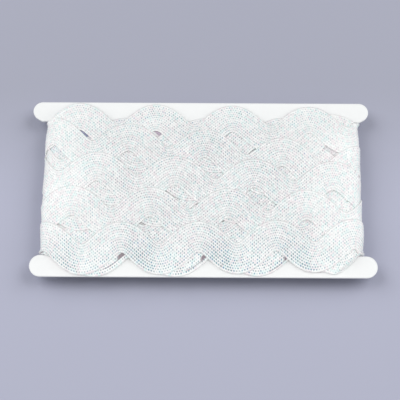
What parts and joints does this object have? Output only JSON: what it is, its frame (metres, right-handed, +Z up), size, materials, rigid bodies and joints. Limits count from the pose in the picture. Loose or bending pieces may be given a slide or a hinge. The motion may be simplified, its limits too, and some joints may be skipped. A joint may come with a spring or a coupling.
{
  "type": "roll of wave-form polyester ribbon on a flat card",
  "caption": "Wave-form polyester braid wound lengthwise round a flat white dog-bone card, its scalloped edges lapping onto the card's long bars.",
  "frame": {"origin": "on the surface the winding rests on, below the middle of the card", "axes": "+X along the card's long bars, to the right in the picture; +Y across the card, to the top of the picture; +Z up, out of the face that shows"},
  "size_m": [0.2524, 0.1322, 0.0185],
  "materials": {
    "white_board": "smooth white coated board, slightly satin",
    "white_braid": "braided white yarn with a soft pearly lustre, tinted pale teal, pink and lilac"
  },
  "bodies": {
    "root": {"card": "white_board", "wound_braid": "white_braid"}
  },
  "joints": []
}
